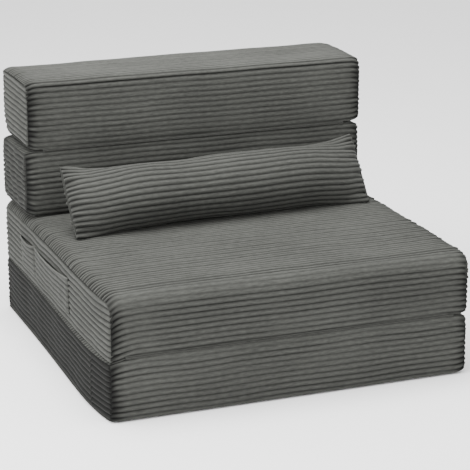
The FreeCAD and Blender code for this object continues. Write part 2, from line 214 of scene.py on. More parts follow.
def block_shape(
    label, radii, crowns, left_round, left_sag, right_round, right_sag, ribs, tones, ends, spread, creased,
    first_valley=0.0, calm=0.0, belly=0.0, lift=0.0,
):
    """A property group that holds one block's soft shape.

    Rows of four run front, top, rear, bottom, and rows of eight follow the section."""
    fields = {
        "radii": lengths(radii, "Edge radii", "Front bottom, front top, rear top and rear bottom edge"),
        "crowns": lengths(crowns, "Crowns", "How far each face swells"),
        "left_round": lengths(left_round, "Left rounding", "How far each face curls in at the left seam"),
        "left_sag": lengths(left_sag, "Left sag", "How far each face droops towards the left end"),
        "right_round": lengths(right_round, "Right rounding", "How far each face curls in at the right seam"),
        "right_sag": lengths(right_sag, "Right sag", "How far each face droops towards the right end"),
        "ribs": shares(ribs, "Rib strength", "Height of the ribs along the section"),
        # Tones along the section paint light besides the pile's own lightness: tops lighter, fronts and the
        # front bottom edge darker.
        "tones": shares(tones, "Nap tone", "Brightness of the brushed pile along the section"),
        "ends": shares(ends, "End tones", "Brightness of the left and right end panel"),
        "spread": lengths(spread, "Spread", "How far the left end, the rear and the right end stand out"),
        "creased": length(creased, "Small creases", "Depth of the small creases in the left end panel"),
        "first_valley": length(first_valley, "First valley", "Place of a valley from the section's start"),
        "calm": length(calm, "Calm band", "Height of the faintly ribbed band under the front's upper edge"),
        "belly": length(belly, "Bulge", "How far the left end bulges where it bulges most"),
        "lift": length(lift, "Lift", "How far the cloth of the top stands above the foam"),
    }
    return type(label, (PropertyGroup,), {"__annotations__": fields, "__doc__": "Soft shape of one block."})


# In each shape's tones the top is painted lighter and the front darker, as the light falls from above.
SHAPES = {
    "base": block_shape(
        "BaseShape", radii=(4, 5, 10, 4), crowns=(3, 0, 3, 0),
        left_round=(5, 6, 4, 1), left_sag=(1, 6, 1, 0),
        right_round=(5, 6, 4, 5), right_sag=(0, 3, 0, 1),
        ribs=(0.66, 0.5, 0.3, 0.8, 1, 0.8, 0.12, 0.8),
        tones=(0.9, 0.9, 1, 1, 1, 1, 1, 0.85), ends=(0.1, 0.5),
        spread=(0, 0, 4), creased=0.5, first_valley=-6.0, calm=14.0, belly=14.0,
    ),
    "seat": block_shape(
        "SeatShape", radii=(5, 25, 10, 12), crowns=(3, 3, 3, 0),
        left_round=(5, 14, 4, 2), left_sag=(1, 4, 1, -13),
        right_round=(4, 6, 4, 5), right_sag=(0, 1, 0, -3),
        ribs=(0.8, 0.3, 1.0, 0.8, 1, 0.8, 0.3, 0.8),
        tones=(0.88, 1.02, 1.1, 1, 1, 1, 1, 0.95), ends=(0.9, 0.8),
        spread=(0, 0, 4), creased=0.5, first_valley=-0.8, belly=8.0,
    ),
    "lower_back": block_shape(
        "LowerBackShape", radii=(14, 6, 20, 14), crowns=(3, 0, 3, 0),
        left_round=(10, 6, 3, 8), left_sag=(2, 2, 0, 0),
        right_round=(5, 6, 4, 8), right_sag=(1, 2, 1, 0),
        ribs=(0.75, 0.7, 0.3, 0.9, 1, 0.8, 0.3, 0.7),
        tones=(0.95, 0.95, 1, 1, 1, 1, 1, 0.85), ends=(0.42, 0.7),
        spread=(10, 0, 11), creased=1.5,
    ),
    "upper_back": block_shape(
        "UpperBackShape", radii=(6, 12, 8, 36), crowns=(3, 3, 3, 0),
        left_round=(5, 8, 2, 6), left_sag=(1, 1, 0, 2),
        right_round=(4, 8, 3, 6), right_sag=(1, 1, 0, 2),
        ribs=(0.6, 0.7, 0.6, 0.9, 1, 0.9, 0.3, 0.7),
        tones=(1, 1.05, 1.25, 1, 1, 1, 1, 1), ends=(0.98, 0.9),
        spread=(4, 0, 12), creased=0.6, lift=7.0,
    ),
}


class StageSizes(PropertyGroup):
    """The camera and the light."""

    eye: FloatVectorProperty(
        name="Camera", description="Place of the camera", default=(-1.4358, -3.7302, 1.4270), size=3,
        unit="LENGTH",
    )
    yaw: FloatProperty(name="Yaw", description="Turn to the right", default=0.3721, unit="ROTATION")
    pitch: FloatProperty(name="Pitch", description="Tilt downwards", default=0.2904, unit="ROTATION")
    roll: FloatProperty(name="Roll", description="Turn about the sight line", default=-0.0019, unit="ROTATION")
    lens: FloatProperty(name="Lens", description="Focal length in millimetres", default=149.8, unit="CAMERA")
    sky: FloatProperty(name="Sky", description="Strength of the even light", default=1.5)
    top_light: watts(190.0, "Top light", "Power of the large light above")
    side_light: watts(95.0, "Side light", "Power of the light on the left")
    front_light: watts(62.0, "Front light", "Power of the light in front")


class Wire:
    """A shader value: a socket or a number, with arithmetic that adds Math nodes."""

    def __init__(self, shader, value):
        self.shader = shader
        self.value = value

    def math(self, operation, *others):
        """A Math node on this value and others."""
        return self.shader.node("ShaderNodeMath", {"operation": operation}, [self, *others])

    def __add__(self, other):
        return self.math("ADD", other)

    def __sub__(self, other):
        return self.math("SUBTRACT", other)

    def __mul__(self, other):
        return self.math("MULTIPLY", other)

    def __rsub__(self, other):
        return Wire(self.shader, other).math("SUBTRACT", self)

    __radd__ = __add__


class Shader:
    """A material's nodes. Each call of node() adds one and gives its first output, or the one that is named."""

    def __init__(self, name):
        self.material = bpy.data.materials.new(name)
        self.material.use_nodes = True
        self.tree = self.material.node_tree
        self.tree.nodes.clear()

    def node(self, kind, settings=None, inputs=(), output=0):
        """Adds a node: its settings first, then the values or links of its sockets, by name or by order."""
        made = self.tree.nodes.new(kind)
        for key, value in (settings or {}).items():
            setattr(made, key, value)
        pairs = inputs.items() if isinstance(inputs, dict) else enumerate(inputs)
        for key, value in pairs:
            value = value.value if isinstance(value, Wire) else value
            socket = made.inputs[key]
            if isinstance(value, bpy.types.NodeSocket):
                self.tree.links.new(value, socket)
            elif value is not None:
                socket.default_value = value
        return Wire(self, made.outputs[output]) if made.outputs else made

    def attribute(self, name):
        """A number that the mesh carries."""
        return self.node("ShaderNodeAttribute", {"attribute_name": name}, output="Fac")

    def noise(self, place, scale, detail=2.0, rough=0.5):
        """Smooth noise from 0 to 1."""
        return self.node(
            "ShaderNodeTexNoise", None, {"Vector": place, "Scale": scale, "Detail": detail, "Roughness": rough}
        )

    def place(self, scale=(1, 1, 1), kind="Object"):
        """Coordinates on the piece, in metres, scaled along each axis."""
        where = self.node("ShaderNodeTexCoord", output=kind)
        return self.node("ShaderNodeMapping", None, {"Vector": where, "Scale": scale})

    def mix(self, factor, first, second):
        """A mix of two colours."""
        colours = [(*c, 1.0) if isinstance(c, tuple) else c for c in (first, second)]
        return self.node(
            "ShaderNodeMix", {"data_type": "RGBA"}, {0: factor, 6: colours[0], 7: colours[1]}, output=2
        )

    def tint(self, base, factor):
        """A colour made lighter or darker by a factor."""
        if not isinstance(base, Wire):
            base = self.mix(0.0, tuple(base), tuple(base))
        grey = self.node("ShaderNodeCombineXYZ", None, [factor, factor, factor])
        return self.node("ShaderNodeVectorMath", {"operation": "MULTIPLY"}, [base, grey])

    def surface(self, base, roughness=0.8, bump=None, bump_depth=0.0005, **fixed):
        """The Principled surface, with a bump, and constants by their socket's name."""
        inputs = {"Base Color": (*base, 1.0) if isinstance(base, tuple) else base, "Roughness": roughness}
        if bump is not None:
            relief = {"Strength": 1.0, "Distance": bump_depth, "Height": bump}
            inputs["Normal"] = self.node("ShaderNodeBump", None, relief)
        inputs.update({key.replace("_", " "): value for key, value in fixed.items()})
        shader = self.node("ShaderNodeBsdfPrincipled", None, inputs)
        self.node("ShaderNodeOutputMaterial", None, {"Surface": shader})
        return self.material


def settings():
    """The chair's property groups."""
    return bpy.context.scene.chair_bed


def corduroy():
    """Corduroy: dark valleys, brushed ribs with streaks of pile along them, and soft patches where the nap lies
    another way. The mesh carries rib (0 in a valley, 1 on a crest) and tone."""
    colours = settings().colours
    shader = Shader("ribbed_pile")
    rib = shader.attribute("rib")
    tone = shader.attribute("tone")
    broad = shader.noise(shader.place((4, 4, 9)), 1.0, 3.0, 0.55)
    streak = shader.noise(shader.place((28, 260, 1), "UV"), 1.0, 2.0, 0.6)
    pile = shader.noise(shader.place((900, 1600, 1), "UV"), 1.0, 1.0, 0.5)
    fleck = shader.noise(shader.place((75, 330, 1), "UV"), 1.0, 1.0, 0.6)
    crest = rib.math("POWER", 0.75)
    nap = 1.0 + (broad - 0.5) * 0.7 + (streak - 0.5) * 0.5
    # The tone attribute brings in painted light and shade: lighter tops, darker fronts, and shaded tucks and
    # creases.
    light = tone * (nap + (fleck - 0.5) * 0.85 + (pile - 0.5) * 0.3)
    base = shader.tint(shader.mix(crest, tuple(colours.valley), tuple(colours.crest)), light)
    height = pile * 0.5 + streak * 0.6 + fleck * 0.5
    return shader.surface(
        base, 0.92, height, 0.0006,
        Specular_IOR_Level=0.15, Sheen_Weight=0.05, Sheen_Roughness=0.45, Sheen_Tint=(0.75, 0.76, 0.72, 1.0),
    )


def sole_cloth():
    """Black cloth with a grid of small raised dots."""
    colours = settings().colours
    shader = Shader("dotted_sole")
    grid = {"Vector": shader.place((125, 125, 0)), "Scale": 1.0, "Randomness": 0.0}
    dots = shader.node("ShaderNodeTexVoronoi", {"feature": "F1"}, grid)
    dot = dots.math("LESS_THAN", 0.28)
    base = shader.mix(dot, tuple(colours.sole), tuple(c * 2.2 for c in colours.sole))
    return shader.surface(base, 0.75 - dot * 0.3, dot, 0.0008, Specular_IOR_Level=0.3)


def foam():
    """Open cell foam: fine pores all over."""
    colours = settings().colours
    shader = Shader("foam_pores")
    pores = shader.noise(shader.place((700, 700, 700)), 1.0, 3.0, 0.7)
    base = shader.tint(colours.foam, pores * 0.5 + 0.75)
    return shader.surface(base, 0.95, pores, 0.001)


def fibre():
    """Loose white fibre."""
    colours = settings().colours
    shader = Shader("loose_fibre")
    strands = shader.noise(shader.place((60, 400, 400)), 1.0, 4.0, 0.6)
    base = shader.tint(colours.fibre, strands * 0.3 + 0.8)
    return shader.surface(base, 0.95, strands, 0.002)


def tape():
    """A fine plain weave: two sets of crossing threads."""
    base_colour, count = settings().colours.zip_cloth, 180.0
    shader = Shader("woven_tape")
    across, along = [
        shader.node("ShaderNodeTexWave", {"bands_direction": way}, {"Vector": shader.place(), "Scale": count})
        for way in ("Y", "Z")
    ]
    weave = across.math("MAXIMUM", along)
    base = shader.tint(base_colour, weave * 0.5 + 0.6)
    return shader.surface(base, 0.85, weave, 0.0003, Specular_IOR_Level=0.25)


def coil():
    """Satin nylon."""
    colours = settings().colours
    shader = Shader("nylon_coil")
    wear = shader.noise(shader.place((300, 300, 300)), 1.0, 2.0, 0.5)
    base = shader.tint(colours.coil, wear * 0.6 + 0.7)
    return shader.surface(base, wear * 0.2 + 0.35, wear, 0.0001)


def metal():
    """Dark lacquered zinc with worn spots."""
    colours = settings().colours
    shader = Shader("lacquered_zinc")
    wear = shader.noise(shader.place((220, 220, 220)), 1.0, 4.0, 0.65)
    base = shader.tint(colours.metal, wear * 0.8 + 0.6)
    return shader.surface(base, wear * 0.3 + 0.25, wear, 0.0001, Metallic=0.8)


finishes = {}


def finish(make):
    """The material that a function makes, made at its first use."""
    if make not in finishes:
        finishes[make] = make()
    return finishes[make]


def smooth(share):
    """Smooth step from 0 to 1."""
    share = np.clip(share, 0.0, 1.0)
    return share * share * (3.0 - 2.0 * share)


def curl(share):
    """A round shoulder: 1 at the seam, where it stands steeply, and 0 with no slope at the shoulder's start.

    It is the arc of a circle up to about 60 degrees."""
    steep = 0.87
    left = np.clip(1.0 - share, 0.0, 1.0) * steep
    return (1.0 - np.sqrt(1.0 - left ** 2)) / (1.0 - math.sqrt(1.0 - steep ** 2))


def waves(u, v, seed, low, high, count=12):
    """Smooth unevenness of about -1 to 1: a sum of plane waves with seeded directions, and lengths from low to
    high."""
    rng = np.random.default_rng(seed)
    total = np.zeros(np.broadcast(u, v).shape)
    for _ in range(count):
        angle = rng.uniform(0, math.tau)
        rate = math.tau / rng.uniform(low, high)
        total += np.cos((u * math.cos(angle) + v * math.sin(angle)) * rate + rng.uniform(0, math.tau))
    return total / math.sqrt(count / 2.0) / 1.6


def rib_profile(phase):
    """A rib's section: a round hump with narrow valleys, 0 in the valley and 1 on the crest.

    It is 1 less the 1.9th power of the distance from the crest."""
    return 1.0 - np.abs(2.0 * (phase % 1.0) - 1.0) ** 1.9


def per_rib(phase, values):
    """A value for each rib, which runs smoothly from one rib to the next."""
    count = len(values)
    place = phase - 0.5
    low = np.floor(place).astype(int)
    share = smooth(place - low)
    return values[low % count] * (1.0 - share) + values[(low + 1) % count] * share


def normals(grid, close_u, close_v):
    """Unit normals of a grid of points, from the differences between neighbours."""

    def step(array, axis, closed):
        if closed:
            return np.roll(array, -1, axis) - np.roll(array, 1, axis)
        return np.gradient(array, axis=axis)

    normal = np.cross(step(grid, 0, close_u), step(grid, 1, close_v))
    size = np.linalg.norm(normal, axis=2, keepdims=True)
    return normal / np.maximum(size, 1e-12)


def grid_mesh(name, grid, close_u=False, close_v=False, flip=False, uv=None, weld=None, **numbers):
    """A mesh from a grid of points, as quads, with a UV map in metres and numbers for the material.

    uv is a pair of grids with one more row or column where the surface closes. weld maps point numbers to
    others."""
    rows, columns = grid.shape[:2]
    u = np.arange(rows + close_u)
    v = np.arange(columns + close_v)
    number = (u % rows)[:, None] * columns + (v % columns)[None, :]
    corner = np.arange(len(u) * len(v)).reshape(len(u), len(v))
    ring = [number[:-1, :-1], number[1:, :-1], number[1:, 1:], number[:-1, 1:]]
    corners = [corner[:-1, :-1], corner[1:, :-1], corner[1:, 1:], corner[:-1, 1:]]
    faces = np.stack(ring, axis=-1).reshape(-1, 4)
    corners = np.stack(corners, axis=-1).reshape(-1, 4)
    if flip:
        faces, corners = faces[:, ::-1], corners[:, ::-1]
    points = grid.reshape(-1, 3)
    if weld is not None:
        faces = weld[faces]
        kept, faces = np.unique(faces, return_inverse=True)
        faces = faces.reshape(-1, 4)
        points = points[kept]
        numbers = {
            key: np.broadcast_to(value, (rows, columns)).reshape(-1)[kept] for key, value in numbers.items()
        }
    mesh = bpy.data.meshes.new(name)
    mesh.vertices.add(len(points))
    mesh.vertices.foreach_set("co", points.astype(np.float32).ravel())
    mesh.loops.add(faces.size)
    mesh.loops.foreach_set("vertex_index", faces.astype(np.int32).ravel())
    mesh.polygons.add(len(faces))
    mesh.polygons.foreach_set("loop_start", np.arange(0, faces.size, 4, dtype=np.int32))
    mesh.polygons.foreach_set("use_smooth", np.ones(len(faces), bool))
    mesh.update(calc_edges=True)
    if uv is not None:
        flat = np.stack([np.broadcast_to(a, (len(u), len(v))) for a in uv], axis=-1).reshape(-1, 2)
        layer = mesh.uv_layers.new(name="UVMap")
        layer.data.foreach_set("uv", flat[corners.ravel()].astype(np.float32).ravel())
    for key, value in numbers.items():
        layer = mesh.attributes.new(key, "FLOAT", "POINT")
        if np.size(value) != len(points):
            value = np.broadcast_to(value, (rows, columns))
        layer.data.foreach_set("value", np.asarray(value, np.float32).ravel())
    mesh.validate()
    return mesh


def add_piece(name, mesh, material, body, stands_for=()):
    """Puts a mesh into the scene as a piece that rides on a body and stands for CAD nodes."""
    piece = bpy.data.objects.new(name, mesh)
    bpy.context.scene.collection.objects.link(piece)
    mesh.materials.append(material)
    if body:
        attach(piece, body)
    if stands_for:
        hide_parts(*stands_for)
    return piece


def thicken(piece, wall):
    """A wall for an open sheet, to its inner side."""
    modifier = piece.modifiers.new("Wall", "SOLIDIFY")
    modifier.thickness = wall
    modifier.offset = -1.0
    modifier.use_even_offset = False


class Block:
    """One foam block's place, taken from the frame, and its soft shape."""

    def __init__(self, name):
        self.shape = getattr(settings(), name)
        self.relief = settings().relief
        low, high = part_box(name + "_cover_wrap")
        left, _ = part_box(name + "_end_panel_left")
        _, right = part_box(name + "_end_panel_right")
        self.name = name
        left_out, rear_out, right_out = self.shape.spread
        self.x = (left.x - left_out + right.x + right_out) / 2
        self.half = (right.x - left.x + left_out + right_out) / 2
        self.box = [low.y, high.z + self.shape.lift, high.y + rear_out, low.z]
        self.seam = self.half - settings().cloth.seam_inset
        self.seed = BLOCKS.index(name) * 10 + 5

    def lines(self, from_left, from_right, inset=0.0):
        """Places of the front, top, rear and bottom lines at distances from the two end seams.

        Each is the box less its crown, less a round shoulder at the seam and a slow droop towards the end."""
        shape, relief = self.shape, self.relief
        found = []
        for face in range(4):
            drawn = shape.crowns[face] + inset
            for side, depth in (("left", from_left), ("right", from_right)):
                amount = getattr(shape, side + "_round")[face]
                sag = getattr(shape, side + "_sag")[face]
                reach = max(relief.shoulder, abs(amount) * 1.35)
                span = relief.droop_reach if sag > 0 else relief.rise_reach
                drawn = drawn + amount * curl(depth / reach) + sag * np.clip(1 - depth / span, 0, 1) ** 2
            inward = 1 if face in (0, 3) else -1
            found.append(self.box[face] + inward * drawn)
        return found

    def belly(self, y):
        """How far the left end bulges at each depth: a steep rise behind the front seam, and a slow fall."""
        share = np.clip((y - self.box[0]) / (self.box[2] - self.box[0]), 0, 1) / self.relief.belly_peak
        return self.shape.belly * share * np.exp(1 - share)

    def pulled(self, y, from_left):
        """How far the left end's bulge pulls the band at a distance from the left seam: less by a Gaussian."""
        return self.belly(y) * np.exp(-((from_left / self.relief.belly_reach) ** 2))

    def radii(self, inset=0.0):
        """Radii of the four long edges, smaller where the surface lies deeper."""
        return [np.maximum(radius - inset, self.relief.least_radius) for radius in self.shape.radii]


def section(lines, radii, crowns, shelf, part, share):
    """Points of a block's section: four sides that swell by 1 less the 4th power of the way from their middle,
    joined by quarter rounds.

    part says which side or round a point is on, and share how far along it; lines may be columns of places."""
    front, top, rear, bottom = lines
    low_front, high_front, high_rear, low_rear = radii
    quarter = share * math.pi / 2
    hump = 1 - (2 * share - 1) ** 4
    along_shelf = np.clip(share / shelf, 0, 1)
    top_hump = 1 - (2 * along_shelf - 1) ** 4
    sine, cosine = np.sin(quarter), np.cos(quarter)

    def between(start, end):
        return start + share * (end - start)

    sides = [
        (front - crowns[0] * hump, between(bottom + low_front, top - high_front)),
        (front + high_front * (1 - cosine), top - high_front * (1 - sine)),
        (between(front + high_front, rear - high_rear), top + crowns[1] * top_hump),
        (rear - high_rear * (1 - sine), top - high_rear * (1 - cosine)),
        (rear + crowns[2] * hump, between(top - high_rear, bottom + low_rear)),
        (rear - low_rear * (1 - cosine), bottom + low_rear * (1 - sine)),
        (between(rear - low_rear, front + low_front), bottom - crowns[3] * hump),
        (front + low_front * (1 - sine), bottom + low_front * (1 - cosine)),
    ]
    y = np.choose(part, [np.broadcast_to(pair[0], np.broadcast(pair[0], part).shape) for pair in sides])
    z = np.choose(part, [np.broadcast_to(pair[1], np.broadcast(pair[1], part).shape) for pair in sides])
    return y, z


class Ribs:
    """The way round a block's section: which part each point is on, its share of that part and its rib."""

    def __init__(self, block, pitch, points):
        front, top, rear, bottom = block.lines(FAR, FAR)
        low_front, high_front, high_rear, low_rear = block.radii()
        sizes = [
            top - bottom - low_front - high_front, high_front * math.pi / 2,
            rear - front - high_front - high_rear, high_rear * math.pi / 2,
            top - bottom - high_rear - low_rear, low_rear * math.pi / 2,
            rear - front - low_rear - low_front, low_front * math.pi / 2,
        ]
        ends = np.cumsum(sizes)
        self.around = ends[-1]
        self.count = round(self.around / pitch)
        total = self.count * points
        self.way = (np.arange(total) + 0.5) * self.around / total
        self.part = np.searchsorted(ends, self.way)
        self.starts = np.concatenate([[0.0], ends[:-1]])
        self.share = (self.way - self.starts[self.part]) / np.array(sizes)[self.part]
        self.phase = (self.way - block.shape.first_valley) / self.around * self.count

    def creases(self, block):
        """1 at each thin crease and 0 away from it: a Gaussian along the way round."""
        found = np.zeros(len(self.way))
        for part, ahead in CREASES.get(block.name, ()):
            place = self.starts[part] + ahead
            found = found + np.exp(-(((self.way - place) / block.relief.crease_width) ** 2))
        return found

    def spread(self, values, width=8 * MM):
        """A value for each of the eight parts, blended where they meet: a Gaussian along the way round."""
        values = np.asarray(values, float)[self.part]
        rate = np.fft.rfftfreq(len(values), self.around / len(values))
        blur = np.exp(-2 * (math.pi * width * rate) ** 2)
        return np.fft.irfft(np.fft.rfft(values) * blur, len(values))


def seam_steps():
    """Distances from an end seam, close together at the seam."""
    near = SEAM_ZONE * (1 - np.cos(np.linspace(0, math.pi / 2, 11)))
    return np.concatenate([near, SEAM_ZONE + np.array([9, 20, 34, 50, 70, 94]) * MM])


def shelf_share(block):
    """Share of the top that is crowned: on the seat, only the part ahead of the back."""
    if block.name != "seat":
        return 1.0
    back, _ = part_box("lower_back_cover_wrap")
    front, _, rear, _ = block.lines(FAR, FAR)
    start = front + block.shape.radii[1]
    return (back.y - block.relief.back_margin - start) / (rear - block.shape.radii[2] - start)


def pressed_ribs(block, ribs, shelf):
    """Strength of the ribs along the section. On the seat they are pressed flat where the back stands."""
    strength = ribs.spread(block.shape.ribs)
    if block.name == "seat":
        pressed = (ribs.part == TOP) & (ribs.share > shelf)
        flattened = 0.3
        strength = np.where(pressed, flattened, strength)
    return strength


def cover_relief(block, ribs, cloth, even, x, z, top, nearest):
    """Height of the cloth over its plain section, with the ribs' profile and strength and the tucks' shade.

    The height is the profile times the strength, less what keeps the crests near the section, plus slow waves
    and less the thin creases. Near an end seam the ribs grow and lean on each other. even is their strength
    elsewhere."""
    shape, relief, seed = block.shape, block.relief, block.seed
    faint, sunk, settled = 0.35, 0.8 * MM, 0.3 * MM
    near_seam = np.exp(-((nearest / relief.seam_reach) ** 2))
    rng = np.random.default_rng(seed)
    pinch = per_rib(ribs.phase, rng.uniform(0.4, 1.4, ribs.count))
    shade_reach = per_rib(ribs.phase, rng.uniform(6 * MM, 17 * MM, ribs.count))
    lean = per_rib(ribs.phase, rng.uniform(-1.0, 1.0, ribs.count))
    uneven = per_rib(ribs.phase, rng.uniform(0.55, 1.15, ribs.count))
    uneven = uneven * (1 + 0.2 * waves(x, ribs.way, seed + 4, 0.06, 0.3))
    wander = waves(x, ribs.way, seed + 1, 0.1, 0.5) * 0.1 + lean * near_seam * 0.12
    profile = rib_profile(ribs.phase + wander)
    calm = (ribs.part == FRONT) & (z > top - block.radii()[1] - shape.calm)
    strength = np.where(calm, faint, even) * uneven * (1 + near_seam * pinch * 1.1)

    meeting = ribs.spread(MEETING)
    slow = waves(x, ribs.way, seed + 2, 0.16, 0.5) * relief.wave
    slow = slow + waves(x, ribs.way, seed + 3, 0.04, 0.1) * relief.ripple
    slow = np.where(meeting > 0.3, slow * 0.5 - sunk, slow)
    height = cloth.rib_height * (strength * profile - 0.72 * even - near_seam * 0.4 * strength)
    height = height + slow * ribs.spread(shape.ribs) * smooth(nearest / relief.still_reach)
    height = height - settled * (1 + meeting)
    crease = ribs.creases(block) * smooth(nearest / relief.crease_reach)
    height = height - relief.crease * crease

    # Painted shade: the cloth is drawn darker in the tucks beside the end seams and along the thin creases.
    seam_shade = np.exp(-((nearest / shade_reach) ** 2)) * ribs.spread(SEAM_SHADE)
    shade = (1 - seam_shade) * (1 - 0.6 * crease)
    return height, profile, strength, near_seam, shade


def cover_lining(block, ribs, cloth, shelf):
    """The band's inside, from the right seam back to the left one: plain sections, turned in at the seams."""
    last = 2 * block.seam
    valley, lip, rim = 1.2 * MM, 3.2 * MM, 2 * MM
    wall = cloth.wall + valley
    folded = wall + 1 * MM
    places = [
        (lip, last - rim), (folded, last - cloth.tuck), (wall, last - SEAM_ZONE),
        (wall, last * 0.75), (wall, last * 0.5), (wall, last * 0.25),
        (wall, SEAM_ZONE), (folded, cloth.tuck), (lip, rim),
    ]
    rows = []
    for inset, from_left in places:
        place = np.full((1, 1), from_left)
        lines = block.lines(place, last - place, inset)
        y, z = section(lines, block.radii(inset), block.shape.crowns, shelf, ribs.part, ribs.share)
        x = block.x - block.seam + from_left - block.pulled(y, from_left)
        rows.append(np.stack([x, y, z], axis=-1))
    return rows


def cover_grid(block, ribs, cloth):
    """The ribbed band round a block, as a closed tube: outside from seam to seam, tucked in, and back inside.

    Outside, a point is the section at its station, moved along the surface's normal by the cloth's relief."""
    shape = block.shape
    last = 2 * block.seam
    steps = seam_steps()
    middle = np.linspace(steps[-1], last - steps[-1], 20)[1:-1]
    from_left = np.concatenate([steps, middle, (last - steps)[::-1]])[:, None]
    nearest = np.minimum(from_left, last - from_left)
    lines = block.lines(from_left, last - from_left)
    shelf = shelf_share(block)
    y, z = section(lines, block.radii(), shape.crowns, shelf, ribs.part, ribs.share)
    x = block.x - block.seam + from_left - block.pulled(y, from_left)
    plain = np.stack([x, y, z], axis=-1)
    even = pressed_ribs(block, ribs, shelf)
    height, profile, strength, near_seam, shade = cover_relief(
        block, ribs, cloth, even, x, z, lines[1], nearest
    )
    outside = plain + normals(plain, False, True) * height[:, :, None]
    full = np.concatenate([outside] + cover_lining(block, ribs, cloth, shelf))

    outer = slice(len(outside))
    crest = np.zeros(full.shape[:2])
    # Near the end seams the valleys are widened on the crest map as painted shade in the tucks; where the ribs
    # are faint, the valleys' painted shade fades to the rib colour.
    crest[outer] = profile ** (1 + 2.2 * near_seam)
    crest[outer] += (1 - crest[outer]) * np.clip(0.75 - strength, 0, 1) * 0.9
    # Painted light along the section: the block's tones light the tops and shade the fronts, and the tucks'
    # painted shade is multiplied in.
    tone = np.ones(full.shape[:2]) * ribs.spread(shape.tones)
    tone[outer] *= shade
    uv_x = np.concatenate([full[:, 0, 0], full[:1, 0, 0]])[:, None]
    uv_y = np.concatenate([ribs.way, [ribs.around + ribs.way[0]]])[None, :]
    return full, crest, tone, (uv_x, uv_y)


class EndPanel:
    """An end panel's points, as rows along its ribs from the front edge to the rear edge of the block's end.

    Its outline is the block's section at the seam."""

    def __init__(self, block, side, cloth):
        ends = (0.0, FAR) if side == "left" else (FAR, 0.0)
        inside = 1.2 * MM
        self.block = block
        self.front, self.top, self.rear, self.bottom = [float(v) for v in block.lines(*ends, inside)]
        self.tall = self.top - self.bottom
        self.count = max(round(self.tall / cloth.rib_pitch), 1)
        self.fold = FOLDS.get((block.name, side))
        z = np.linspace(self.bottom, self.top, self.count * cloth.rib_points + 1)
        hair = np.array([0.4, 0.8]) * MM
        z = np.unique(np.concatenate([z, self.bottom + hair, self.top - hair]))
        low_front, high_front, high_rear, low_rear = block.radii(inside)
        near = self.front + self.set_back(z, low_front, high_front, block.shape.crowns[0])
        far = self.rear - self.set_back(z, low_rear, high_rear, block.shape.crowns[2])
        self.y = near[None, :] + self.across()[:, None] * (far - near)[None, :]
        self.z = np.broadcast_to(z, self.y.shape)
        self.to_side = np.minimum(self.y - near, far - self.y)
        self.to_edge = np.minimum(np.minimum(self.z - self.bottom, self.top - self.z), self.to_side)

    def set_back(self, z, low, high, crown):
        """How far the outline's front or rear stands back from its line at each height.

        Two quarter rounds, less the face's crown."""
        below = np.clip(self.bottom + low - z, 0, low)
        above = np.clip(z - self.top + high, 0, high)
        rounds = low - np.sqrt(low ** 2 - below ** 2) + high - np.sqrt(high ** 2 - above ** 2)
        share = (z - self.bottom) / self.tall
        return rounds - crown * (1 - (2 * share - 1) ** 4)

    def across(self):
        """Shares of the way from the front edge to the rear edge, close together at both and at a fold."""
        depth = self.rear - self.front
        steps = np.array([0, 0.5, 1, 1.7, 2.6, 3.8, 5.4, 7.5, 10, 13.5, 18, 24]) * MM
        inner = np.linspace(steps[-1], depth - steps[-1], max(round(depth / (14 * MM)), 8))[1:-1]
        if self.fold:
            beside = np.array([-6, -3, -1.5, 0, 1.5, 3, 6]) * MM
            inner = np.sort(np.concatenate([inner, self.fold + beside]))
        return np.concatenate([steps, inner, (depth - steps)[::-1]]) / depth

    def flat(self):
        """Share by which the panel is flat under its zip: 1 from the zip's ends on, and 0 past a ramp."""
        aside = self.block.shape.spread[2]
        zip_half, zip_ramp = 17 * MM, 6 * MM
        low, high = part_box(self.block.name + "_zip_tape")
        middle = (low.z + high.z) / 2
        under = 1 - smooth((np.abs(self.z - middle) - zip_half) / (zip_ramp + 1.3 * aside))
        ramp = zip_ramp + 1.6 * aside
        margin = ramp + 1.2 * aside
        return under * smooth((self.y - low.y + margin) / ramp) * smooth((high.y + margin - self.y) / ramp)


